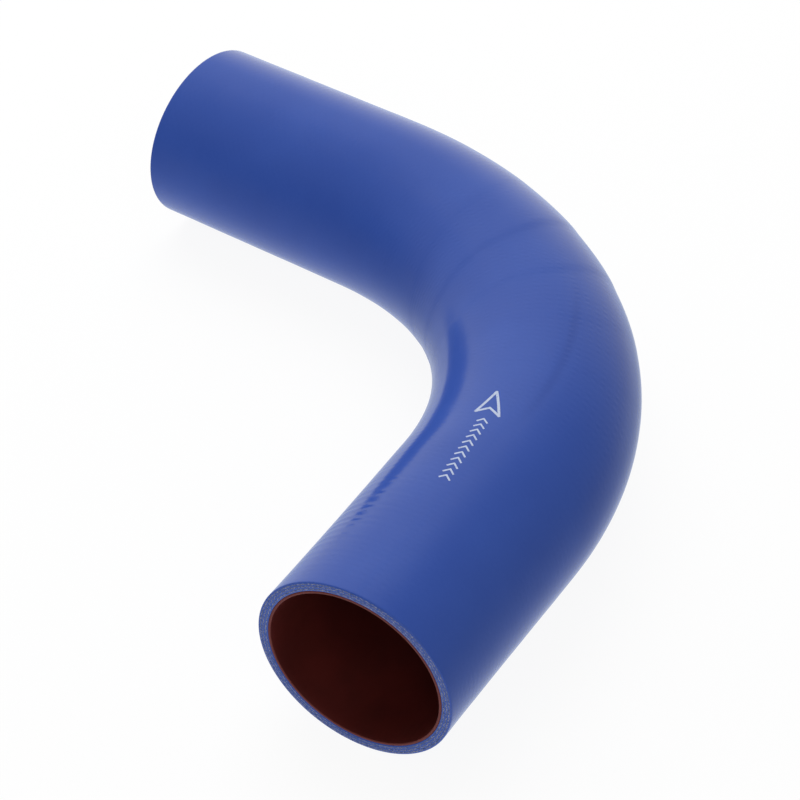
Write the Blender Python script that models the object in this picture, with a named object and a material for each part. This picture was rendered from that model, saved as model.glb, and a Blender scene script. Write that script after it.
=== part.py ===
"""Moulded coolant elbow for an engine, bent through a right angle.

Its wall is one bonded piece: a red liner, yarn plies and a blue jacket. It lies on its side, as it would
come to rest, so the plane of the bend is level and +Z is up. The near leg opens towards -Y and the far leg
towards -X. The origin is on the ground, under the middle of the hose's box. Sizes are in metres.
"""

import math
from collections import namedtuple

import bmesh
import bpy
from mathutils import Matrix, Vector
from mathutils.geometry import interpolate_bezier

NAME = "hose"

# Section: the bore fits a 60 mm pipe stub, and the liner is the bore's red layer inside the wall
BORE_DIAMETER = 0.060
WALL = 0.0045
LINER = 0.0009

# Route of the centre line: two straight legs, and a bend between them. The legs' lines cross at a corner,
# and the bend starts and ends at its reach from there
NEAR_LEG = 0.0815
FAR_LEG = 0.0815
BEND_REACH = 0.1185
BEND_HANDLE = 0.58  # share of the reach that steers the curve: 0.55 is a round arc, and more eases its ends

# The plies gather round the bend, so the wall is thicker there, most of all on its inner side
INNER_BUILD_UP = 0.0030
OUTER_BUILD_UP = 0.0015
BUILD_UP_SPREAD = 0.150  # from the thickest place to where the wall is plain again, along the hose
BUILD_UP_OFFSET = 0.034  # from the middle of the bend to the thickest place, towards the near end

# The ends are cut by hand, a little out of square: the side on the inside of the bend is the longer one
NEAR_CUT_ANGLE = math.radians(2.2)
FAR_CUT_ANGLE = math.radians(4.4)
EDGE_ROUND = 0.0003

# Fineness of the faceted surface
SIDES = 48
LEG_STEPS = 4
BEND_STEPS = 20
EDGE_SEGMENTS = 2
SHARP_ANGLE = math.radians(40)

BORE_RADIUS = BORE_DIAMETER / 2
OUTER_RADIUS = BORE_RADIUS + WALL
LINER_RADIUS = BORE_RADIUS + LINER

UP = Vector((0, 0, 1))
NEAR_SIDE = Vector((0, -1, 0))
FAR_SIDE = Vector((-1, 0, 0))

JACKET_SLOT = 0
LINER_SLOT = 1

# One stop on the centre line: travel runs from the near end to the far end, inward points to the inside of
# the bend, and from_crown is the distance along the hose from where the wall is thickest
Station = namedtuple("Station", "centre travel inward from_crown lean")


def clear_scene():
    for thing in list(bpy.data.objects):
        bpy.data.objects.remove(thing, do_unlink=True)


def material(name, colour, roughness):
    made = bpy.data.materials.new(name)
    made.use_nodes = True
    shader = made.node_tree.nodes["Principled BSDF"]
    shader.inputs["Base Color"].default_value = (*colour, 1)
    shader.inputs["Roughness"].default_value = roughness
    shader.inputs["Metallic"].default_value = 0
    made.diffuse_color = (*colour, 1)
    return made


def spread(start, end, steps):
    """Points from start to end in equal steps, without the last."""
    return [start.lerp(end, step / steps) for step in range(steps)]


def centre_line():
    """Points along the middle of the bore, near end first, with the legs' corner at zero."""
    bend_start = NEAR_SIDE * BEND_REACH
    bend_end = FAR_SIDE * BEND_REACH
    handle = 1 - BEND_HANDLE
    bend = interpolate_bezier(bend_start, bend_start * handle, bend_end * handle, bend_end, BEND_STEPS + 1)
    near_end = NEAR_SIDE * (BEND_REACH + NEAR_LEG)
    far_end = FAR_SIDE * (BEND_REACH + FAR_LEG)
    far_leg = spread(far_end, bend_end, LEG_STEPS)
    return spread(near_end, bend_start, LEG_STEPS) + bend + far_leg[::-1]


def stations():
    """The stops of the sweep, each with its directions. The first and last lean as the ends are cut."""
    points = centre_line()
    last = len(points) - 1
    lengths = [0.0]
    for before, after in zip(points, points[1:]):
        lengths.append(lengths[-1] + (after - before).length)
    bend_middle = (lengths[LEG_STEPS] + lengths[last - LEG_STEPS]) / 2
    crown = bend_middle - BUILD_UP_OFFSET
    leans = {0: -math.tan(NEAR_CUT_ANGLE), last: math.tan(FAR_CUT_ANGLE)}
    stops = []
    for index, point in enumerate(points):
        if index <= LEG_STEPS:
            travel = -NEAR_SIDE
        elif index >= last - LEG_STEPS:
            travel = FAR_SIDE
        else:
            travel = (points[index + 1] - points[index - 1]).normalized()
        from_crown = lengths[index] - crown
        stops.append(Station(point, travel, UP.cross(travel), from_crown, leans.get(index, 0.0)))
    return stops


def build_up(station, angle):
    """Extra wall at this angle, measured from the inward side towards the top."""
    share = min(1.0, abs(station.from_crown) / BUILD_UP_SPREAD)
    along = math.cos(share * math.pi / 2) ** 2
    side = math.cos(angle)
    most = INNER_BUILD_UP if side > 0 else OUTER_BUILD_UP
    return most * along * side**2


def outer_radius(station, angle):
    return OUTER_RADIUS + build_up(station, angle)


def liner_radius(station, angle):
    return LINER_RADIUS


def bore_radius(station, angle):
    return BORE_RADIUS


def add_ring(mesh, height):
    """A ring of radius 1 at this height in a straight stack: its corners and its edges."""
    stacked = Matrix.Translation(UP * height)
    verts = bmesh.ops.create_circle(mesh, segments=SIDES, radius=1, matrix=stacked)["verts"]
    return verts, {edge for vert in verts for edge in vert.link_edges}


def place_ring(verts, station, radius_at):
    """Moves a ring of the stack to its place round the centre line."""
    for vert in verts:
        angle = math.atan2(vert.co.y, vert.co.x)
        radius = radius_at(station, angle)
        inward = radius * math.cos(angle)
        height = radius * math.sin(angle)
        level = station.inward * inward + station.travel * (inward * station.lean)
        vert.co = station.centre + level + UP * height


def face_outwards(mesh):
    """Turns every face out. A skin whose faces all point inwards has a volume below zero."""
    bmesh.ops.recalc_face_normals(mesh, faces=mesh.faces)
    if mesh.calc_volume(signed=True) < 0:
        bmesh.ops.reverse_faces(mesh, faces=mesh.faces)


def hose_mesh():
    """The wall as one closed skin: along the jacket, over the far cut, down the bore, over the near cut.

    The rings are bridged as a straight stack. On the hose, the rings of a cut lie in one plane round one
    centre, and a bridge can't tell there which way round they run.
    """
    stops = stations()
    near, far = stops[0], stops[-1]
    jacket = [(stop, outer_radius) for stop in stops]
    bore = [(stop, bore_radius) for stop in reversed(stops)]
    places = [*jacket, (far, liner_radius), *bore, (near, liner_radius)]
    mesh = bmesh.new()
    rings = [add_ring(mesh, height) for height in range(len(places))]
    for index, (_, edges) in enumerate(rings):
        _, following = rings[(index + 1) % len(rings)]
        band = bmesh.ops.bridge_loops(mesh, edges=list(edges | following))["faces"]
        is_liner = len(jacket) <= index < len(rings) - 1
        for face in band:
            face.material_index = LINER_SLOT if is_liner else JACKET_SLOT
    for (verts, _), place in zip(rings, places):
        place_ring(verts, *place)
    face_outwards(mesh)
    rim_places = (0, len(jacket) - 1, len(jacket) + 1, len(rings) - 2)
    bmesh.ops.bevel(
        mesh,
        geom=[edge for index in rim_places for edge in rings[index][1]],
        offset=min(EDGE_ROUND, LINER / 2),
        segments=EDGE_SEGMENTS,
        profile=0.5,
        affect="EDGES",
        material=-1,
    )
    return mesh


def set_on_ground(mesh):
    """Moves the mesh so that zero is on the ground, under the middle of its box."""
    xs, ys, zs = zip(*(vert.co for vert in mesh.verts))
    middle = Vector(((min(xs) + max(xs)) / 2, (min(ys) + max(ys)) / 2, min(zs)))
    bmesh.ops.translate(mesh, vec=-middle, verts=mesh.verts)


def build_hose(collection):
    shape = hose_mesh()
    set_on_ground(shape)
    data = bpy.data.meshes.new(NAME)
    shape.to_mesh(data)
    shape.free()
    data.materials.append(material("blue_silicone", (0.035, 0.085, 0.33), 0.3))
    data.materials.append(material("red_silicone", (0.20, 0.028, 0.018), 0.4))
    data.shade_smooth()
    data.set_sharp_from_angle(angle=SHARP_ANGLE)
    hose = bpy.data.objects.new(NAME, data)
    collection.objects.link(hose)
    return hose


def main():
    clear_scene()
    collection = bpy.data.collections.new("coolant_elbow")
    bpy.context.scene.collection.children.link(collection)
    build_hose(collection)


main()
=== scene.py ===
# %% [markdown]
# # A moulded water hose, one step at a time
#
# The object is a right-angle silicone hose for an engine's coolant. Cloth coated with silicone is laid
# up in plies on a bent steel mandrel, wrapped tightly in nylon tape and cured. The tape leaves its print
# on the blue outside, the mandrel leaves the red bore smooth, and the plies show where the ends are cut.
#
# The plain CAD solid is the frame: it says where everything is. This lesson dresses it. All sizes are in
# metres, +Z is up, and the hose lies on its side on the ground.

import math
from collections import namedtuple

import bmesh
import bpy
import numpy as np
from mathutils import Matrix, Vector
from mathutils.geometry import interpolate_bezier


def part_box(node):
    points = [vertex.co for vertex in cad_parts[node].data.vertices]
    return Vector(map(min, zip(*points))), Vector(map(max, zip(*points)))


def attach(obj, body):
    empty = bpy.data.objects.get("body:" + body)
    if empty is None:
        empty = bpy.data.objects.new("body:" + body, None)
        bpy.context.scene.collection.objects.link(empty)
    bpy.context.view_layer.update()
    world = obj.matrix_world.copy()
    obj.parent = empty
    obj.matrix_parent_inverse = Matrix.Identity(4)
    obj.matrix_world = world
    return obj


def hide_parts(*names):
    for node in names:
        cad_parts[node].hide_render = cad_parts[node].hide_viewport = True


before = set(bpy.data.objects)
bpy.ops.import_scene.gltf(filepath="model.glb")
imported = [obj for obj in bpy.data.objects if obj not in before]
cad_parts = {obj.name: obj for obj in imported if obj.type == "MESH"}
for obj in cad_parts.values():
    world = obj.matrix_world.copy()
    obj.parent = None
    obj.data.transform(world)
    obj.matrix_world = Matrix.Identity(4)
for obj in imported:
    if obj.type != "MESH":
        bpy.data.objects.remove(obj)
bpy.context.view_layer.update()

# %% [markdown]
# ## Sizes
#
# These are the sizes of the CAD part. They are written again here because a scene stands alone. The legs of
# the hose are straight, and their centre lines would cross at a corner. The bend between them is one Bezier
# curve that starts and ends at its reach from the corner, and its handle is the share of the reach that
# steers it. Its wall is a little thicker, because cloth gathers round a bend, most of all on its inside.

# %% The hose's driving sizes
BORE_RADIUS = 0.030
WALL = 0.0045
LINER = 0.0009
OUTER_RADIUS = BORE_RADIUS + WALL
LINER_RADIUS = BORE_RADIUS + LINER

NEAR_LEG = 0.0815
FAR_LEG = 0.0815
BEND_REACH = 0.1185
BEND_HANDLE = 0.58

INNER_BUILD_UP = 0.0030
OUTER_BUILD_UP = 0.0015
BUILD_UP_SPREAD = 0.150
BUILD_UP_OFFSET = 0.034

NEAR_CUT = math.tan(math.radians(2.2))
FAR_CUT = math.tan(math.radians(4.4))
EDGE_ROUND = 0.0003

hose_low, hose_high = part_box("hose")
CORNER = Vector((
    hose_low.x + FAR_LEG + BEND_REACH + FAR_CUT * OUTER_RADIUS,
    hose_low.y + NEAR_LEG + BEND_REACH + NEAR_CUT * OUTER_RADIUS,
    OUTER_RADIUS,
))
print("The legs' lines cross at, in mm:", [round(place * 1000, 1) for place in CORNER])

# %% [markdown]
# ## The route, and one function that bends everything
#
# A bent tube is awkward to model, and a straight one is easy. So each piece is modelled on a straight hose:
# X runs along it from the near end, Y points to the inside of the bend, and Z points up. One function then
# carries every vertex round the bend. The pieces fit each other after it, because they did before.
#
# The centre line is sampled finely and looked up by its length, so a millimetre along the straight hose is
# a millimetre along the bent one.

# %% The centre line as a table of places and directions by length
ROUTE_STEPS = 400

bend_start = Vector((0, -BEND_REACH, 0))
bend_end = Vector((-BEND_REACH, 0, 0))
handle = 1 - BEND_HANDLE
bend_line = interpolate_bezier(bend_start, bend_start * handle, bend_end * handle, bend_end, ROUTE_STEPS)
near_end = Vector((0, -BEND_REACH - NEAR_LEG, 0))
far_end = Vector((-BEND_REACH - FAR_LEG, 0, 0))

route_places = np.array([near_end, *bend_line, far_end]) + np.array(CORNER)
route_lengths = np.concatenate([[0], np.cumsum(np.linalg.norm(np.diff(route_places, axis=0), axis=1))])
LENGTH = float(route_lengths[-1])

# The direction of travel is taken halfway along each step, and the two ends keep their leg's direction
travel_lengths = np.concatenate([[0], (route_lengths[1:] + route_lengths[:-1]) / 2, [LENGTH]])
step_headings = np.unwrap(np.arctan2(*np.diff(route_places, axis=0).T[1::-1]))
travel_headings = np.concatenate([step_headings[:1], step_headings, step_headings[-1:]])

CROWN = (route_lengths[1] + route_lengths[-2]) / 2 - BUILD_UP_OFFSET
print(f"The centre line is {LENGTH * 1000:.1f} mm long, and the wall is thickest at {CROWN * 1000:.1f} mm")


# %% Bend straight places round the route
def build_up(along, angle):
    """Extra wall of the bend. The angle is 0 on the inside of the bend and a quarter turn on top."""
    share = np.minimum(1, np.abs(along - CROWN) / BUILD_UP_SPREAD)
    side = np.cos(angle)
    most = np.where(side > 0, INNER_BUILD_UP, OUTER_BUILD_UP)
    return most * np.cos(share * math.pi / 2) ** 2 * side**2


def bend(along, angle, radius):
    """Places on the real hose of points given by length, angle and radius on the straight one."""
    inward = radius * np.cos(angle)
    height = radius * np.sin(angle)
    near_share = np.clip(1 - along / NEAR_LEG, 0, 1)
    far_share = np.clip(1 - (LENGTH - along) / FAR_LEG, 0, 1)
    stretched = along + inward * (FAR_CUT * far_share - NEAR_CUT * near_share)
    inside = np.clip(stretched, 0, LENGTH)
    beyond = stretched - inside
    heading = np.interp(inside, travel_lengths, travel_headings)
    x = np.interp(inside, route_lengths, route_places[:, 0]) + beyond * np.cos(heading)
    y = np.interp(inside, route_lengths, route_places[:, 1]) + beyond * np.sin(heading)
    return np.stack([x - inward * np.sin(heading), y + inward * np.cos(heading), CORNER.z + height], axis=1)


middle_of_hose = np.array([LENGTH / 2])
inner_side = bend(middle_of_hose, np.zeros(1), OUTER_RADIUS)
print("The inner side at the middle of the hose is at, in mm:", np.round(inner_side[0] * 1000, 1))

# %% [markdown]
# ## The relief of the outside
#
# The blue skin was pressed by a tape that was wound on under tension. Nothing stands above the nominal
# surface, because a tape can only press inwards. The relief could be a bump in the material, but it shows
# in the outline and in the reflections, so it is made in the mesh. Each kind of mark is one function of the
# place on the straight hose that gives a depth, and three soft shapes serve them all.

# %% Three soft shapes
def smooth(share):
    """0 to 1 with soft ends."""
    share = np.clip(share, 0, 1)
    return share * share * (3 - 2 * share)


def bell(distance, spread):
    """1 at no distance, and fading to 0 beyond the spread."""
    return np.exp(-((distance / spread) ** 2))


def from_inside(angle):
    """The angle counted from the inside of the bend, between minus and plus half a turn."""
    return (angle + math.pi) % (2 * math.pi) - math.pi


print("Half a spread away a bell is still at", round(float(bell(0.5, 1)), 2))

# %% [markdown]
# ### Steps of the tape
#
# Two tapes run side by side, and each turn overlaps the one before. So the skin sinks slowly along a turn
# and rises softly at the next, as a saw-tooth round the hose. The steps are deepest on the bend, where the
# pull is strongest, and fade on its inside, where the tape runs slack.

# %% The tape's relief
TAPE_PITCH = 0.0240
TAPE_STARTS = 2
TAPE_PHASE = 0.32
TAPE_STEP = 0.00025
TAPE_RAMP = 0.0050
TAPE_TIGHT_PLACE = 0.190
TAPE_TIGHT_SPREAD = 0.026
TAPE_LEAST = 0.12  # share of the step that is left on the straight legs
TAPE_LOOSE = 0.75  # share of the step that is lost on the inside of the bend
TAPE_LOOSE_TURN = 0.75  # radians to each side of the inside
TAPE_WANDER = 0.03  # of a turn
TAPE_FLUTTER = 0.02
TAPE_FLUTTER_SPAN = 0.03


def tape_relief(along, angle):
    """A saw-tooth round the hose that sinks slowly along a turn of tape and rises softly at the next."""
    turn = along / TAPE_PITCH - TAPE_STARTS * angle / (2 * math.pi) + TAPE_PHASE
    turn = turn + TAPE_WANDER * np.sin(3 * angle + 1.0)
    turn = turn + TAPE_FLUTTER * np.sin(5 * angle + along / TAPE_FLUTTER_SPAN)
    before_rise = (1 - (turn - np.floor(turn))) * TAPE_PITCH
    rise = smooth(before_rise / TAPE_RAMP)
    sinking = 1 - smooth((before_rise - TAPE_RAMP) / (TAPE_PITCH - TAPE_RAMP))
    tight = TAPE_LEAST + (1 - TAPE_LEAST) * bell(along - TAPE_TIGHT_PLACE, TAPE_TIGHT_SPREAD)
    loose = TAPE_LOOSE * bell(from_inside(angle), TAPE_LOOSE_TURN)
    return TAPE_STEP * tight * (1 - loose) * rise * sinking


print(f"A step of the tape is up to {TAPE_STEP * 1000:.2f} mm")

# %% [markdown]
# ### Wrinkles, and the last ply's edge
#
# On the inside of the bend the tape bunches up and leaves short crosswise wrinkles. The last ply of cloth
# ends somewhere too. Its edge is a soft crease that runs along the hose and drifts round it, because the
# cloth was laid on a little askew.

# %% The wrinkles' relief
WRINKLE_PITCH = 0.0021
WRINKLE_DEPTH = 0.00005
WRINKLE_SPREAD = 0.034
WRINKLE_TURN = 0.75  # radians to each side of the inside of the bend
WRINKLE_WOBBLE = 0.0009
WRINKLE_WOBBLE_SPAN = 0.009
WRINKLE_PATCH_SPAN = 0.0051
WRINKLE_PLACE = LENGTH * 0.56


def wrinkle_relief(along, angle):
    """Short crosswise wrinkles on the inside of the bend, fading out round the hose and along it."""
    centred = from_inside(angle)
    around = bell(centred, WRINKLE_TURN)
    lengthwise = bell(along - WRINKLE_PLACE, WRINKLE_SPREAD)
    askew = np.sin(2.3 * centred + along / WRINKLE_WOBBLE_SPAN) + 0.7 * np.sin(5.1 * centred)
    wave = 0.5 - 0.5 * np.cos(2 * math.pi * (along + WRINKLE_WOBBLE * askew) / WRINKLE_PITCH)
    uneven = 0.6 + 0.4 * np.sin(along / WRINKLE_PATCH_SPAN + 2 * centred)
    return WRINKLE_DEPTH * around * lengthwise * wave * uneven


print(f"The wrinkles are {WRINKLE_PITCH * 1000:.1f} mm apart")

# %% The crease's relief
CREASE_PLACE = 0.128
CREASE_ANGLE = math.radians(102.5)
CREASE_DRIFT = math.radians(210)  # for each metre along the hose
CREASE_SPREAD = 0.045
CREASE_WIDTH = 0.0019
CREASE_DEPTH = 0.00013


def crease_relief(along, angle):
    """The edge of the last ply."""
    middle = CREASE_ANGLE + CREASE_DRIFT * (along - CREASE_PLACE)
    aside = from_inside(angle - middle) * OUTER_RADIUS
    return CREASE_DEPTH * bell(aside, CREASE_WIDTH) * bell(along - CREASE_PLACE, CREASE_SPREAD)


print(f"The crease is deepest {CREASE_PLACE * 1000:.0f} mm from the near end")

# %% [markdown]
# ### Print of the cloth, and a wall wrapped by hand
#
# The tape is woven, and its cloth leaves fine crosswise lines all over. Where it slid a little, on the
# inner upper side of the near leg, it left a patch of plainer ribs. A wall that is wrapped by hand is also
# never quite even, so the whole surface swells and sinks slowly by some hundredths of a millimetre.

# %% The relief of the cloth, the ribs and the swell
CLOTH_PITCH = 0.0024
CLOTH_DEPTH = 0.000009
CLOTH_WANDER = 0.8  # radians of a line's wave
CLOTH_WANDER_SPAN = 0.02

RIB_PITCH = 0.0035
RIB_DEPTH = 0.00007
RIB_PLACE = 0.034
RIB_SPREAD = 0.022
RIB_ANGLE = math.radians(42)
RIB_TURN = 0.45  # radians to each side of that angle
RIB_WANDER = 0.6
RIB_WANDER_SPAN = 0.0047

SWELL_DEPTH = 0.00004
SWELL_SPANS = (0.0062, 0.0104)


def rib_relief(along, angle):
    """A patch of crosswise ribs, unevenly spaced."""
    wander = RIB_WANDER * np.sin(along / RIB_WANDER_SPAN)
    wave = 0.5 + 0.5 * np.sin(2 * math.pi * along / RIB_PITCH + wander)
    around = bell(from_inside(angle - RIB_ANGLE), RIB_TURN)
    return RIB_DEPTH * wave * bell(along - RIB_PLACE, RIB_SPREAD) * around


def swell_relief(along, angle):
    """Slow unevenness of the wall, and the fine print of the tape's cloth."""
    short, long = (np.sin(along / span) for span in SWELL_SPANS)
    slow = short * np.cos(2 * angle) + long * np.cos(3 * angle + 2) + np.sin(5 * angle)
    wander = CLOTH_WANDER * np.sin(4 * angle + along / CLOTH_WANDER_SPAN)
    cloth = np.sin(2 * math.pi * along / CLOTH_PITCH + wander)
    return SWELL_DEPTH * (3 + slow) / 6 + CLOTH_DEPTH * (1 + cloth) / 2


def surface_radius(along, angle):
    """The radius of the blue outside, with its build-up and all of its relief."""
    pressed = tape_relief(along, angle) + wrinkle_relief(along, angle)
    pressed = pressed + crease_relief(along, angle) + rib_relief(along, angle)
    pressed = pressed + swell_relief(along, angle)
    return OUTER_RADIUS + build_up(along, angle) - pressed


print(f"The deepest relief is about {(TAPE_STEP + CREASE_DEPTH + SWELL_DEPTH) * 1000:.2f} mm")

# %% [markdown]
# ## Helpers that turn a bmesh into a piece
#
# A piece keeps the place that it had on the straight hose in an attribute called straight. Its materials
# read that attribute, so a pattern follows the wall round the bend and has no seam. After a spin the faces
# may point inwards, and recalc_face_normals alone can leave a ring inside out, so the volume decides.


# %% Finish a mesh as a piece
SHARP_ANGLE = math.radians(50)


def face_outwards(mesh):
    """Turns every face out. A closed skin that points inwards has a volume below zero."""
    bmesh.ops.recalc_face_normals(mesh, faces=mesh.faces)
    if mesh.calc_volume(signed=True) < 0:
        bmesh.ops.reverse_faces(mesh, faces=mesh.faces)


def straight_places(data):
    """Length, angle and radius of each vertex of a piece that is still straight."""
    flat = np.zeros(len(data.vertices) * 3)
    data.vertices.foreach_get("co", flat)
    places = flat.reshape(-1, 3)
    along, inward, height = places.T
    return places, along, np.arctan2(height, inward), np.hypot(inward, height)


def make_piece(name, mesh, press=None):
    """Bends a straight bmesh into place and makes it an object that rides on the hose's one body.

    A press rule may move the vertices first: it takes and gives their length, angle and radius.
    """
    face_outwards(mesh)
    data = bpy.data.meshes.new(name)
    mesh.to_mesh(data)
    mesh.free()
    places, along, angle, radius = straight_places(data)
    if press is not None:
        along, angle, radius = press(along, angle, radius)
    kept = data.attributes.new("straight", "FLOAT_VECTOR", "POINT")
    kept.data.foreach_set("vector", places.astype(np.float32).ravel())
    data.vertices.foreach_set("co", bend(along, angle, radius).astype(np.float32).ravel())
    data.update()
    data.shade_smooth()
    data.set_sharp_from_angle(angle=SHARP_ANGLE)
    piece = bpy.data.objects.new(name, data)
    bpy.context.scene.collection.objects.link(piece)
    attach(piece, "root")
    triangles = sum(len(face.vertices) - 2 for face in data.polygons)
    print(f"{name}: {triangles} triangles")
    return piece


# %% [markdown]
# ## The wall: jacket and liner
#
# On the real hose the blue jacket and the red liner are cured into one wall, and they show as two rings on
# a cut end. Each is a tube with a thickness. A tube could be two cylinders joined by rings, but its cut
# edges would be sharp, and a knife leaves them very slightly round. So a rectangle, the section of the
# wall, gets its corners bevelled and its long sides divided, and is then spun once round the hose's axis.
#
# The sides where the jacket and the liner touch are never seen, so they are divided more coarsely.


# %% Spin a wall
EDGE_SEGMENTS = 3
HIDDEN_CUTS = 60


def spun_wall(inner, outer, sides, outer_cuts, inner_cuts, inset):
    """A straight closed tube wall along X, with rounded cut edges."""
    mesh = bmesh.new()
    length = LENGTH - 2 * inset
    middle = Matrix.Translation((LENGTH / 2, (inner + outer) / 2, 0))
    section = middle @ Matrix.Diagonal((length, outer - inner, 1, 1))
    bmesh.ops.create_grid(mesh, x_segments=1, y_segments=1, size=0.5, matrix=section)
    bmesh.ops.bevel(
        mesh,
        geom=mesh.verts[:],
        offset=EDGE_ROUND,
        segments=EDGE_SEGMENTS,
        profile=0.5,
        affect="VERTICES",
        material=-1,
    )
    bmesh.ops.delete(mesh, geom=mesh.faces[:], context="FACES_ONLY")
    long_edges = [edge for edge in mesh.edges if edge.calc_length() > length / 2]
    for edge in long_edges:
        is_outer = edge.verts[0].co.y > (inner + outer) / 2
        bmesh.ops.subdivide_edges(mesh, edges=[edge], cuts=outer_cuts if is_outer else inner_cuts)
    bmesh.ops.spin(
        mesh,
        geom=mesh.verts[:] + mesh.edges[:],
        cent=(0, 0, 0),
        axis=(1, 0, 0),
        angle=2 * math.pi,
        steps=sides,
        use_merge=True,
    )
    return mesh


# %% [markdown]
# The jacket needs a station every half millimetre, because the wrinkles of the bend are two millimetres
# long. Its cut face is set back by a hair, so that the ends of the yarn can stand out of it without making
# the hose longer. The relief moves the outer side only: the inner side stays against the liner.

# %% The jacket
JACKET_SIDES = 128
JACKET_CUTS = 680
CUT_SETBACK = 0.00012


def press_jacket(along, angle, radius):
    """Build-up and relief move the outer side only. The inner side stays against the liner."""
    share = np.clip((radius - LINER_RADIUS) / (OUTER_RADIUS - LINER_RADIUS), 0, 1)
    return along, angle, radius + share * (surface_radius(along, angle) - OUTER_RADIUS)


wall = spun_wall(LINER_RADIUS, OUTER_RADIUS, JACKET_SIDES, JACKET_CUTS, HIDDEN_CUTS, CUT_SETBACK)
jacket = make_piece("jacket", wall, press_jacket)
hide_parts("hose")

# %% [markdown]
# The liner is what the coolant touches. The mandrel was polished, so its inside stays plain, and it needs
# only enough stations to follow the bend.

# %% The liner
LINER_SIDES = 128
LINER_CUTS = 150

wall = spun_wall(BORE_RADIUS, LINER_RADIUS, LINER_SIDES, HIDDEN_CUTS, LINER_CUTS, CUT_SETBACK / 2)
liner = make_piece("liner", wall)

# %% [markdown]
# ## The plies on the cut ends
#
# The wall holds three plies of woven polyester. A knife cuts the lengthwise yarns across, so each shows as
# a small pale oval, and the crosswise yarns run round the wall and wave over and under them. An oval is a
# low ball, flattened and half sunk in the cut. One ball for each ply is spun with duplicates round the
# hose, which is far quicker than hundreds of separate balls. No two yarns are quite alike, so each is then
# nudged and resized by a seeded table of chances.

# %% Yarn sizes
PLY_RADII = np.array([0.0317, 0.0327, 0.0336])
YARNS_AROUND = 184
YARN_WIDTH = 0.00072
YARN_THICKNESS = 0.00040
YARN_PROUD = 0.00010
YARN_DRIFT = 0.00009
YARN_SIZES = (0.75, 1.15)  # smallest and largest share of the usual size
NEAR_SEED = 4
FAR_SEED = 9
STRAND_RADIUS = 0.00011
STRAND_WAVE = 0.00026
STRAND_SIDES = 6
STRAND_STEPS = 4

YARN_TURN = 2 * math.pi / YARNS_AROUND
print(f"Each cut end has {len(PLY_RADII) * YARNS_AROUND} yarn ends")


# %% Helpers for the yarns
def which_ply(radius):
    return np.abs(radius[:, None] - PLY_RADII).argmin(axis=1)


def spin_round(mesh, verts, steps, as_copies):
    """Spins vertices and their edges and faces once round the hose's axis."""
    edges = {edge for vert in verts for edge in vert.link_edges}
    faces = {face for vert in verts for face in vert.link_faces}
    bmesh.ops.spin(
        mesh,
        geom=[*verts, *edges, *faces],
        cent=(0, 0, 0),
        axis=(1, 0, 0),
        angle=2 * math.pi * (1 - 1 / steps) if as_copies else 2 * math.pi,
        steps=steps - 1 if as_copies else steps,
        use_merge=not as_copies,
        use_duplicate=as_copies,
    )


def at_far_end(mesh):
    """Turns a copy of a near end's mesh into the far end's, as in a mirror halfway along the hose."""
    copied = mesh.copy()
    bmesh.ops.scale(copied, vec=(-1, 1, 1), verts=copied.verts)
    bmesh.ops.translate(copied, vec=(LENGTH, 0, 0), verts=copied.verts)
    return copied


# %% Yarn ends, set in the cut faces
def yarn_end_mesh():
    mesh = bmesh.new()
    for ply_radius in PLY_RADII:
        place = Matrix.Translation((CUT_SETBACK, ply_radius, 0))
        shape = Matrix.Diagonal((2 * YARN_PROUD, YARN_THICKNESS, YARN_WIDTH, 1))
        bmesh.ops.create_uvsphere(mesh, u_segments=8, v_segments=4, radius=0.5, matrix=place @ shape)
    spin_round(mesh, mesh.verts[:], YARNS_AROUND, True)
    return mesh


def nudge_yarns(seed):
    """A press rule that gives each yarn end its own size and place."""
    chance = np.random.default_rng(seed)
    table = (len(PLY_RADII), YARNS_AROUND)
    inwards = chance.uniform(-YARN_DRIFT, YARN_DRIFT, table)
    sideways = chance.uniform(-YARN_DRIFT, YARN_DRIFT, table) / OUTER_RADIUS
    size = chance.uniform(*YARN_SIZES, table)

    def press(along, angle, radius):
        ply = which_ply(radius)
        yarn = np.round(angle / YARN_TURN).astype(int)
        from_middle = angle - yarn * YARN_TURN
        key = (ply, yarn % YARNS_AROUND)
        angle = yarn * YARN_TURN + from_middle * size[key] + sideways[key]
        radius = PLY_RADII[ply] + (radius - PLY_RADII[ply]) * size[key] + inwards[key]
        return along, angle, radius

    return press


ends = yarn_end_mesh()
far_ends = at_far_end(ends)
near_yarn_ends = make_piece("near_yarn_ends", ends, nudge_yarns(NEAR_SEED))
far_yarn_ends = make_piece("far_yarn_ends", far_ends, nudge_yarns(FAR_SEED))

# %% [markdown]
# The crosswise yarn of each ply is a thin ring, spun from a small circle and then pushed in and out by a
# wave that has one crest for every second yarn end.


# %% Waving yarns between the ends
def waving_yarn_mesh():
    mesh = bmesh.new()
    verts = []
    for ply_radius in PLY_RADII:
        place = Matrix.Translation((CUT_SETBACK, ply_radius, 0))
        ring = bmesh.ops.create_circle(mesh, segments=STRAND_SIDES, radius=STRAND_RADIUS, matrix=place)
        verts += ring["verts"]
    spin_round(mesh, verts, YARNS_AROUND * STRAND_STEPS // 2, False)
    return mesh


def wave_yarns(along, angle, radius):
    """Over one yarn end and under the next. The plies don't wave in step."""
    shift = which_ply(radius) * math.pi / 2
    return along, angle, radius + STRAND_WAVE * np.cos(angle * YARNS_AROUND / 2 + shift)


waves = waving_yarn_mesh()
far_waves = at_far_end(waves)
near_waving_yarns = make_piece("near_waving_yarns", waves, wave_yarns)
far_waving_yarns = make_piece("far_waving_yarns", far_waves, wave_yarns)

# %% [markdown]
# ## The print
#
# Such a hose is printed in white where a fitter can read it. Here the print is a plain flow mark: a row of
# small chevrons and an arrow head, which only say which way the coolant runs. It is a film of ink, so each
# stroke is a flat grid that is fine enough to follow the surface, given a thickness and laid on the wall.

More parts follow.
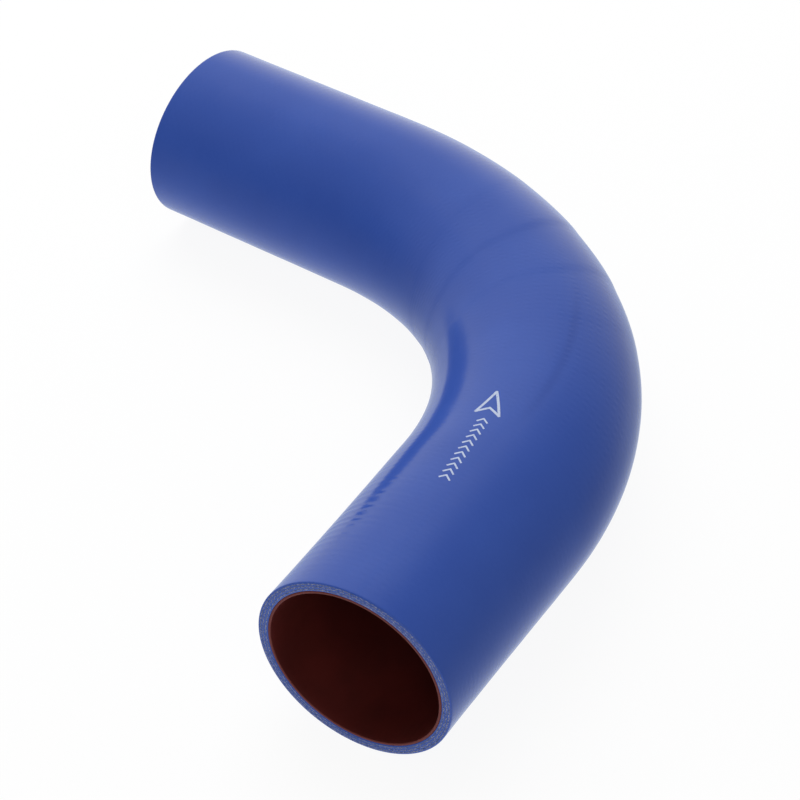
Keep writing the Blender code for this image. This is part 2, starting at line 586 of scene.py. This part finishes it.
# %% Strokes of the flow mark
INK_THICKNESS = 0.00003
INK_LIFT = 0.000012
MARK_HEIGHT = 0.0043
MARK_ANGLE_START = math.radians(83.5)
MARK_ANGLE_END = math.radians(77)
MARK_START = 0.0560
MARK_END = 0.0885
CHEVRON_COUNT = 11
CHEVRON_REACH = 0.0017
STROKE = 0.00062
STROKE_OVERRUN = 0.6  # of its width, so that strokes meet without a gap
STROKE_STEP = 0.0004
ARROW_START = 0.0910
ARROW_END = 0.1030
ARROW_HEIGHT = 0.0086
ARROW_NOTCH = 0.003
ARROW_STROKE = STROKE * 1.5
print(f"The flow mark is {(ARROW_END - MARK_START) * 1000:.0f} mm long")


def add_stroke(mesh, start, end, width):
    """A straight stroke of ink between two flat points, cut fine enough to bend with the wall."""
    run = end - start
    turn = Matrix.Rotation(math.atan2(run.y, run.x), 4, "Z")
    centre = Matrix.Translation(((start.x + end.x) / 2, (start.y + end.y) / 2, 0))
    size = Matrix.Diagonal((run.length + width * STROKE_OVERRUN, width, 1, 1))
    steps = max(2, round(run.length / STROKE_STEP))
    bmesh.ops.create_grid(mesh, x_segments=steps, y_segments=2, size=0.5, matrix=centre @ turn @ size)


def flow_mark_mesh():
    """The whole mark, flat: X along the hose, Y round it."""
    mesh = bmesh.new()
    half = MARK_HEIGHT / 2
    for index in range(CHEVRON_COUNT):
        x = MARK_START + (MARK_END - MARK_START) * (index + 0.5) / CHEVRON_COUNT
        point = Vector((x + CHEVRON_REACH / 2, 0, 0))
        for side in (-1, 1):
            tail = Vector((x - CHEVRON_REACH / 2, side * (half - STROKE / 2), 0))
            add_stroke(mesh, tail, point, STROKE)
    tip = Vector((ARROW_END, 0, 0))
    notch = Vector((ARROW_START + ARROW_NOTCH, 0, 0))
    for side in (-1, 1):
        barb = Vector((ARROW_START, side * ARROW_HEIGHT / 2, 0))
        add_stroke(mesh, barb, tip, ARROW_STROKE)
        add_stroke(mesh, barb, notch, ARROW_STROKE)
    return mesh


# %% Lay the mark on the wall
def make_flow_mark():
    mesh = flow_mark_mesh()
    bmesh.ops.recalc_face_normals(mesh, faces=mesh.faces)
    bmesh.ops.solidify(mesh, geom=mesh.faces[:], thickness=INK_THICKNESS)
    for vert in mesh.verts:
        share = (vert.co.x - MARK_START) / (MARK_END - MARK_START)
        middle = MARK_ANGLE_START + (MARK_ANGLE_END - MARK_ANGLE_START) * share
        angle = middle + vert.co.y / OUTER_RADIUS
        radius = OUTER_RADIUS + vert.co.z
        vert.co = Vector((vert.co.x, radius * math.cos(angle), radius * math.sin(angle)))

    def on_surface(along, angle, radius):
        lift = radius - radius.min() - INK_THICKNESS + INK_LIFT
        return along, angle, surface_radius(along, angle) + lift

    return make_piece("flow_mark", mesh, on_surface)


flow_mark = make_flow_mark()

# %% [markdown]
# ## Writing materials as expressions
#
# A material is a net of nodes, and a net is hard to read as a list of links. Here one small class wraps a
# socket and overloads Python's operators: 1 - mask adds a Math node and gives its result. Every other node
# comes from one method, which sets the node's own settings first and then its sockets.


# %% A recipe of nodes
class Signal:
    """One value on its way through a recipe. Arithmetic on it adds Math nodes."""

    def __init__(self, recipe, socket):
        self.recipe = recipe
        self.socket = socket

    def math(self, operation, *values):
        return self.recipe.node("ShaderNodeMath", {"operation": operation}, dict(enumerate(values)))

    def __add__(self, other):
        return self.math("ADD", self, other)

    def __sub__(self, other):
        return self.math("SUBTRACT", self, other)

    def __rsub__(self, other):
        return self.math("SUBTRACT", other, self)

    def __mul__(self, other):
        return self.math("MULTIPLY", self, other)

    __radd__ = __add__
    __rmul__ = __mul__

    def sine(self):
        return self.math("SINE", self)

    def absolute(self):
        return self.math("ABSOLUTE", self)

    def rise(self, low, high):
        """0 up to low, 1 from high on, and smooth between them."""
        values = {"Value": self, "From Min": low, "From Max": high}
        return self.recipe.node("ShaderNodeMapRange", {"interpolation_type": "SMOOTHSTEP"}, values)

    def output(self, name):
        """Another output of the node that this signal comes from."""
        return Signal(self.recipe, self.socket.node.outputs[name])


class Recipe:
    """Adds nodes to a node tree."""

    # A Mix node has its own sockets for each kind of data. These are the ones for colours
    MIX_FACTOR = 0
    MIX_COLOURS = (6, 7)
    MIX_RESULT = 2

    def __init__(self, tree):
        self.tree = tree

    def feed(self, socket, value):
        if isinstance(value, Signal):
            self.tree.links.new(value.socket, socket)
        else:
            socket.default_value = value

    def node(self, kind, settings=None, inputs=None, output=0):
        """One node: its type, then its settings, then its sockets' values or links."""
        made = self.tree.nodes.new(kind)
        for name, value in (settings or {}).items():
            setattr(made, name, value)
        for key, value in (inputs or {}).items():
            self.feed(made.inputs[key], value)
        return Signal(self, made.outputs[output])

    def mix(self, factor, first, second):
        """A colour between two others."""
        inputs = {self.MIX_FACTOR: factor, self.MIX_COLOURS[0]: first, self.MIX_COLOURS[1]: second}
        return self.node("ShaderNodeMix", {"data_type": "RGBA"}, inputs, self.MIX_RESULT)

    def seen_directly(self):
        """1 for what the camera sees, also through glass, and 0 for the light that falls on the hose."""
        is_camera = self.node("ShaderNodeLightPath", output="Is Camera Ray")
        return is_camera.math("MAXIMUM", is_camera, is_camera.output("Is Transmission Ray"))

    def noise(self, place, scale, detail=2.0, roughness=0.5):
        inputs = {"Vector": place, "Scale": scale, "Detail": detail, "Roughness": roughness}
        return self.node("ShaderNodeTexNoise", None, inputs)


# %% [markdown]
# ## What every finish shares
#
# Each finish is a Principled shader. The straight attribute gives the length along the hose and, from the
# other two numbers, the angle round it. A bump's height is in millimetres here, and its distance of one
# millimetre turns it into a real height.


# %% Start a finish
class Finish(Recipe):
    """A Principled material that reads the straight attribute."""

    def __init__(self, name, ior):
        self.material = bpy.data.materials.new(name)
        self.material.use_nodes = True
        super().__init__(self.material.node_tree)
        self.shader = self.tree.nodes["Principled BSDF"]
        self.shader.inputs["IOR"].default_value = ior
        self.place = self.node("ShaderNodeAttribute", {"attribute_name": "straight"}, output="Vector")
        self.along = self.node("ShaderNodeSeparateXYZ", None, {"Vector": self.place}, "X")
        inward = self.along.output("Y")
        height = self.along.output("Z")
        self.angle = self.along.math("ARCTAN2", height, inward)

    def set(self, name, value):
        self.feed(self.shader.inputs[name], value)

    def bump(self, height_mm):
        """A bump from a height in millimetres."""
        inputs = {"Height": height_mm, "Distance": 0.001, "Strength": 1.0}
        self.set("Normal", self.node("ShaderNodeBump", None, inputs))

    def waves(self, pitch, wobble):
        """Crosswise lines of this pitch, between -1 and 1, shifted by a wobble in metres."""
        return ((self.along + wobble) * (2 * math.pi / pitch)).sine()

    def around(self, pitch, radius):
        """Lengthwise lines, a whole number of them round the hose, between -1 and 1."""
        count = round(2 * math.pi * radius / pitch)
        return (self.angle * count).sine()


# %% [markdown]
# ## Blue silicone
#
# The jacket is a smooth, fairly glossy rubber with a deep blue pigment. The tape's weave gives it fine
# crosswise lines that break up the edges of reflections, and a much finer grid that only takes the edge off
# the gloss. The pigment clouds a little, and a darker blue along the crease of the last ply is painted
# shade.

# %% The jacket's finish
BLUE = (0.0360, 0.0830, 0.352, 1)
DEEP_BLUE = (0.0330, 0.0760, 0.331, 1)
# Painted shade: a darker blue for the line along the crease of the last ply
CREASE_SHADE_BLUE = (0.0220, 0.0540, 0.260, 1)
CREASE_SHADE_WIDTH = 0.0028
CREASE_SHADE_SHARE = 0.38

# Noise scales count features in a metre
CLOUD_SCALE = 38.0
CLOUD_SHARE = 0.75
GRAIN_SCALE = 900.0
PIGMENT_RISE = (0.35, 0.75)

CLOTH_AROUND = 0.0036
CLOTH_UNBROKEN = 0.6  # share of the coarse lines that runs evenly round the hose
CLOTH_DRIFT_SCALE = 45.0
CLOTH_DRIFT = 0.0030
BROKEN_SCALE = 160.0
BROKEN_RISE = (0.25, 0.75)
FINE_PITCH = 0.0013
FINE_DRIFT = 1.7  # times the drift of the coarse lines
WEAVE_PITCH = 0.00055
CLOTH_HEIGHT_MM = 0.0105
FINE_HEIGHT_MM = 0.0022
WEAVE_HEIGHT_MM = 0.0006

GLOSS = 0.13
SCUFF_SCALE = 70.0
SCUFF_RISE = (0.45, 0.8)
SCUFF_ROUGHNESS = 0.06
GRAIN_ROUGHNESS = 0.03


def blue_silicone():
    finish = Finish("blue_silicone", ior=1.45)
    place = finish.place
    clouds = finish.noise(place, CLOUD_SCALE, 3.0)
    grain = finish.noise(place, GRAIN_SCALE)
    pigment = (clouds * CLOUD_SHARE + grain * (1 - CLOUD_SHARE)).rise(*PIGMENT_RISE)
    # A line of painted shade along the last ply's crease, mixed into the base colour
    from_place = finish.along - CREASE_PLACE
    aside = (finish.angle - CREASE_ANGLE - CREASE_DRIFT * from_place) * OUTER_RADIUS
    across = 1 - aside.absolute().rise(0, CREASE_SHADE_WIDTH)
    lengthwise = 1 - from_place.absolute().rise(CREASE_SPREAD / 3, CREASE_SPREAD)
    painted_crease_shade = across * lengthwise * CREASE_SHADE_SHARE
    finish.set("Base Color", finish.mix(painted_crease_shade, finish.mix(pigment, DEEP_BLUE, BLUE), CREASE_SHADE_BLUE))

    drift = finish.noise(place, CLOTH_DRIFT_SCALE) * CLOTH_DRIFT
    broken = finish.noise(place, BROKEN_SCALE).rise(*BROKEN_RISE)
    threads = CLOTH_UNBROKEN + finish.around(CLOTH_AROUND, OUTER_RADIUS)
    coarse = finish.waves(CLOTH_PITCH, drift) * threads
    fine = finish.waves(FINE_PITCH, drift * FINE_DRIFT)
    weave = finish.waves(WEAVE_PITCH, drift) * finish.around(WEAVE_PITCH, OUTER_RADIUS)
    print_height = (coarse * CLOTH_HEIGHT_MM + fine * FINE_HEIGHT_MM) * broken
    finish.bump(print_height + weave * WEAVE_HEIGHT_MM)

    scuffs = finish.noise(place, SCUFF_SCALE, 4.0, 0.6).rise(*SCUFF_RISE)
    finish.set("Roughness", GLOSS + SCUFF_ROUGHNESS * scuffs + GRAIN_ROUGHNESS * grain)
    return finish.material


jacket.data.materials.append(blue_silicone())
print("The jacket has its blue silicone")

# %% [markdown]
# ## Red silicone
#
# The liner is a heat-proof grade with iron oxide in it. The mandrel left it satin, with faint lengthwise
# drag marks from when the hose was pulled off. A noise is stretched along the hose for them. The rim that
# the knife cut is rougher, so it shows a lighter red.

# %% The liner's finish
RED = (0.088, 0.0105, 0.0080, 1)
DARK_RED = (0.066, 0.0080, 0.0062, 1)
CUT_RED = (0.138, 0.027, 0.022, 1)
CUT_RISE = (0.00024, 0.00040)  # from the end, where the cut's look fades
CUT_ROUGHNESS = 0.2

RED_CLOUD_SCALE = 60.0
RED_CLOUD_RISE = (0.3, 0.7)
SATIN = 0.42
DRAG_SCALE = 700.0
DRAG_STRETCH = 0.05
DRAG_HEIGHT_MM = 0.006
DRAG_ROUGHNESS = 0.12


def red_silicone():
    finish = Finish("red_silicone", ior=1.43)
    place = finish.place
    clouds = finish.noise(place, RED_CLOUD_SCALE, 3.0).rise(*RED_CLOUD_RISE)
    from_end = finish.along.math("PINGPONG", finish.along, LENGTH / 2)
    is_cut = 1 - from_end.rise(*CUT_RISE)
    finish.set("Base Color", finish.mix(is_cut, finish.mix(clouds, DARK_RED, RED), CUT_RED))
    stretch = {"Vector": place, "Scale": (DRAG_STRETCH, 1, 1)}
    stretched = finish.node("ShaderNodeMapping", {"vector_type": "POINT"}, stretch)
    drag = finish.noise(stretched, DRAG_SCALE, 3.0)
    finish.bump(drag * DRAG_HEIGHT_MM)
    finish.set("Roughness", SATIN + DRAG_ROUGHNESS * drag + CUT_ROUGHNESS * is_cut)
    return finish.material


liner.data.materials.append(red_silicone())
print("The liner has its red silicone")

# %% [markdown]
# ## Cut yarn, and white ink
#
# Polyester yarn is pale, but silicone has soaked into it, so its ends are a greyish blue and duller than
# the skin. The ink is a thin white film that lets a little of the blue through and is worn in spots.

# %% The plies' finish
PALE_YARN = (0.230, 0.248, 0.365, 1)
SOAKED_YARN = (0.062, 0.095, 0.225, 1)
SOAK_SCALE = 900.0
SOAK_RISE = (0.35, 0.65)
FILAMENT_SCALE = 9000.0
FILAMENT_HEIGHT_MM = 0.02
YARN_ROUGHNESS = 0.62
FILAMENT_ROUGHNESS = 0.2


def cut_yarn():
    finish = Finish("cut_yarn", ior=1.45)
    patches = finish.noise(finish.place, SOAK_SCALE).rise(*SOAK_RISE)
    filaments = finish.noise(finish.place, FILAMENT_SCALE)
    finish.set("Base Color", finish.mix(patches, SOAKED_YARN, PALE_YARN))
    finish.bump(filaments * FILAMENT_HEIGHT_MM)
    finish.set("Roughness", YARN_ROUGHNESS + FILAMENT_ROUGHNESS * filaments)
    return finish.material


yarn_finish = cut_yarn()
for piece in (near_yarn_ends, far_yarn_ends, near_waving_yarns, far_waving_yarns):
    piece.data.materials.append(yarn_finish)
print("The yarns have their finish")

# %% The ink's finish
WHITE_INK = (0.43, 0.49, 0.63, 1)
THIN_INK = (0.24, 0.30, 0.50, 1)
WEAR_SCALE = 1500.0
WEAR_RISE = (0.52, 0.68)
WEAR_HEIGHT_MM = -0.006
INK_ROUGHNESS = 0.45
WEAR_ROUGHNESS = 0.15


def white_ink():
    finish = Finish("white_ink", ior=1.45)
    thin = finish.noise(finish.place, WEAR_SCALE, 3.0, 0.6).rise(*WEAR_RISE)
    finish.set("Base Color", finish.mix(thin, WHITE_INK, THIN_INK))
    finish.bump(thin * WEAR_HEIGHT_MM)
    finish.set("Roughness", INK_ROUGHNESS + WEAR_ROUGHNESS * thin)
    return finish.material


flow_mark.data.materials.append(white_ink())
print("The flow mark has its ink")

# %% [markdown]
# ## Camera
#
# The camera stands high on the near leg's side and looks down across the bend. Places round the hose are
# easier to say as an azimuth and an elevation than as X, Y and Z, so one helper turns the two angles into
# a direction. The lamps and the room use it too.

# %% The camera
CAMERA_AZIMUTH = math.radians(29.94)
CAMERA_ELEVATION = math.radians(42.92)
CAMERA_ROLL = math.radians(3.363)
CAMERA_DISTANCE = 0.7442
CAMERA_LENS = 96.26
CAMERA_AIM = CORNER + Vector((-0.05288, -0.08909, 0))


def direction(azimuth, elevation):
    """A unit vector. Azimuth 0 looks along -Y, and 90 degrees along +X."""
    flat = math.cos(elevation)
    return Vector((math.sin(azimuth) * flat, -math.cos(azimuth) * flat, math.sin(elevation)))


back = direction(CAMERA_AZIMUTH, CAMERA_ELEVATION)
right = Vector((math.cos(CAMERA_AZIMUTH), math.sin(CAMERA_AZIMUTH), 0))
turned = Matrix((right, back.cross(right), back)).transposed().to_4x4()
place = Matrix.Translation(CAMERA_AIM + back * CAMERA_DISTANCE)

camera_data = bpy.data.cameras.new("camera")
camera_data.lens = CAMERA_LENS
camera_data.sensor_width = 36.0
camera_data.clip_start = 0.01
camera = bpy.data.objects.new("camera", camera_data)
camera.matrix_world = place @ turned @ Matrix.Rotation(CAMERA_ROLL, 4, "Z")
bpy.context.scene.collection.objects.link(camera)
bpy.context.scene.camera = camera
print("The camera looks down by", round(math.degrees(CAMERA_ELEVATION), 1), "degrees")

# %% [markdown]
# ## A white sheet on a light table
#
# In a studio, a small part is often laid on a white sheet that is lit from below as well, so that the
# background is clean and the part's lower side isn't black. To the camera the sheet is plain white, but
# for a trace of the hose's shadow. The hose gets the light of both the cloth and the table. Glossy rays
# don't see the sheet: the room below stands for it, because there it can be shaped.

# %% The sheet's finish
WHITE = (1, 1, 1, 1)
SHEET_WHITE = (0.85, 0.85, 0.85, 1)
SHEET_SHOWN = 0.92  # share of plain white in what the camera sees
TABLE_GLOW = 1.6
TABLE_SHARE = 0.5  # share of the table in the light that falls on the hose


def glow_shader(recipe, strength):
    return recipe.node("ShaderNodeEmission", None, {"Color": WHITE, "Strength": strength})


def sheet_finish():
    """Cloth and table for the hose, and almost only white for the camera."""
    material = bpy.data.materials.new("white_sheet")
    material.use_nodes = True
    tree = material.node_tree
    tree.nodes.remove(tree.nodes["Principled BSDF"])
    recipe = Recipe(tree)
    seen = recipe.seen_directly()
    cloth = recipe.node("ShaderNodeBsdfDiffuse", None, {"Color": SHEET_WHITE})
    table = glow_shader(recipe, TABLE_GLOW)
    white = glow_shader(recipe, 1.0)
    lit = recipe.node("ShaderNodeMixShader", None, {0: (1 - seen) * TABLE_SHARE, 1: cloth, 2: table})
    shown = recipe.node("ShaderNodeMixShader", None, {0: seen * SHEET_SHOWN, 1: lit, 2: white})
    recipe.feed(tree.nodes["Material Output"].inputs["Surface"], shown)
    return material


# %% The sheet
SHEET_HALF = 3.0

sheet_mesh = bmesh.new()
bmesh.ops.create_grid(sheet_mesh, x_segments=1, y_segments=1, size=SHEET_HALF)
sheet_data = bpy.data.meshes.new("sheet")
sheet_mesh.to_mesh(sheet_data)
sheet_mesh.free()
sheet_data.materials.append(sheet_finish())
sheet = bpy.data.objects.new("sheet", sheet_data)
sheet.visible_glossy = False
bpy.context.scene.collection.objects.link(sheet)
print("The sheet is", 2 * SHEET_HALF, "m wide")

# %% [markdown]
# ## The room that the gloss mirrors
#
# The shape of a glossy tube is drawn by what it mirrors: a bright backdrop along its far side, and a dim
# room along its near side. An even white world would leave it flat. So the world is a room: dim walls, the
# backdrop, a brighter panel at its side, a window high behind the camera, and a dark corner beside the
# camera. Each is a soft spot round one direction.
#
# Its lower half stands for the lit sheet. It brightens as a direction looks down more steeply, and it is
# a little blue, because the hose colours it. The camera itself sees plain white behind everything.

# %% Panels of the room
Panel = namedtuple("Panel", "azimuth elevation start full brightness")

# Start and full are the squareness, 1 at most, at which a panel's glow starts and would be full
BACKDROP = Panel(-124, 15, 0.15, 1.55, 0.95)
SIDE_PANEL = Panel(-172, -7, 0.55, 1.44, 1.12)
FRONT_WINDOW = Panel(45, 42, 0.80, 0.95, 0.80)
DARK_CORNER = Panel(-30, -12, 0.55, 0.95, 1.00)


def panel_glow(recipe, looking, panel):
    """The glow of a soft panel: strongest where a direction looks squarely at it."""
    towards = direction(math.radians(panel.azimuth), math.radians(panel.elevation))
    squareness = recipe.node(
        "ShaderNodeVectorMath", {"operation": "DOT_PRODUCT"}, {0: looking, 1: towards}, "Value"
    )
    return squareness.rise(panel.start, panel.full) * panel.brightness


# %% The lit sheet in the room
# Its brightness against how steeply a direction looks down, from 0 for level to 1 for straight down
SHEET_STOPS = (
    (0.10, 0.0),
    (0.20, 0.04),
    (0.30, 0.11),
    (0.45, 0.23),
    (0.60, 0.38),
    (0.75, 0.55),
    (0.90, 0.73),
    (1.0, 0.95),
)
SHEET_TINT = (0.86, 0.94, 1.12, 1)
SHEET_TINT_RISE = (0.1, 0.5)


def grey_ramp(recipe, value, stops):
    """A value through a ramp of greys."""
    ramp = recipe.node("ShaderNodeValToRGB", None, {"Fac": value})
    elements = ramp.socket.node.color_ramp.elements
    while len(elements) < len(stops):
        elements.new(0.5)
    for element, (position, grey) in zip(elements, stops):
        element.position = position
        element.color = (grey, grey, grey, 1)
    return ramp


# %% The room
ROOM_GREY = 0.14
WALLS_LOST = 0.31  # share of the walls' light that the sheet's edge hides
WALLS_LOST_RISE = (0.28, 0.57)
CEILING_LOST = 0.8  # share of it that is lost towards the ceiling
CEILING_RISE = (0.80, 0.97)


def build_room():
    world = bpy.data.worlds.new("room")
    world.use_nodes = True
    bpy.context.scene.world = world
    recipe = Recipe(world.node_tree)
    looking = recipe.node("ShaderNodeTexCoord", output="Generated")
    up = recipe.node("ShaderNodeSeparateXYZ", None, {"Vector": looking}, "Z")
    down = up * -1
    walls = ROOM_GREY * (1 - panel_glow(recipe, looking, DARK_CORNER))
    for panel in (BACKDROP, SIDE_PANEL, FRONT_WINDOW):
        walls = walls + panel_glow(recipe, looking, panel)
    above_sheet = 1 - WALLS_LOST * down.rise(*WALLS_LOST_RISE)
    below_ceiling = 1 - CEILING_LOST * up.rise(*CEILING_RISE)
    glow = walls * above_sheet * below_ceiling + grey_ramp(recipe, down, SHEET_STOPS)
    tint = recipe.mix(down.rise(*SHEET_TINT_RISE), WHITE, SHEET_TINT)
    tinted = recipe.node("ShaderNodeVectorMath", {"operation": "MULTIPLY"}, {0: tint, 1: glow})
    colour = recipe.mix(recipe.seen_directly(), tinted, WHITE)
    recipe.feed(world.node_tree.nodes["Background"].inputs["Color"], colour)


build_room()
print("The room is brightest towards the backdrop")

# %% [markdown]
# ## Lamps
#
# Two large soft lamps do the rest: one high over the backdrop's side, and a weaker one that fills the
# camera's side. They are hidden from glossy rays, so the gloss shows the room and not two squares.

# %% The lamps
Lamp = namedtuple("Lamp", "azimuth elevation distance size power")

KEY = Lamp(-135, 62, 1.5, 1.4, 21.0)
FILL = Lamp(6, 42, 1.6, 1.4, 5.0)


def soft_lamp(name, lamp):
    """A square soft lamp that looks at the hose."""
    data = bpy.data.lights.new(name, "AREA")
    data.shape = "SQUARE"
    data.size = lamp.size
    data.energy = lamp.power
    made = bpy.data.objects.new(name, data)
    made.visible_glossy = False
    away = direction(math.radians(lamp.azimuth), math.radians(lamp.elevation))
    made.location = away * lamp.distance
    made.rotation_euler = away.to_track_quat("Z", "Y").to_euler()
    bpy.context.scene.collection.objects.link(made)


soft_lamp("key", KEY)
soft_lamp("fill", FILL)
print("Two soft lamps are up")

# %% [markdown]
# ## The view transform
#
# The view transform is Standard, so a colour shows as it was written.

# %% Finish
bpy.context.scene.view_settings.view_transform = "Standard"
bpy.context.view_layer.update()
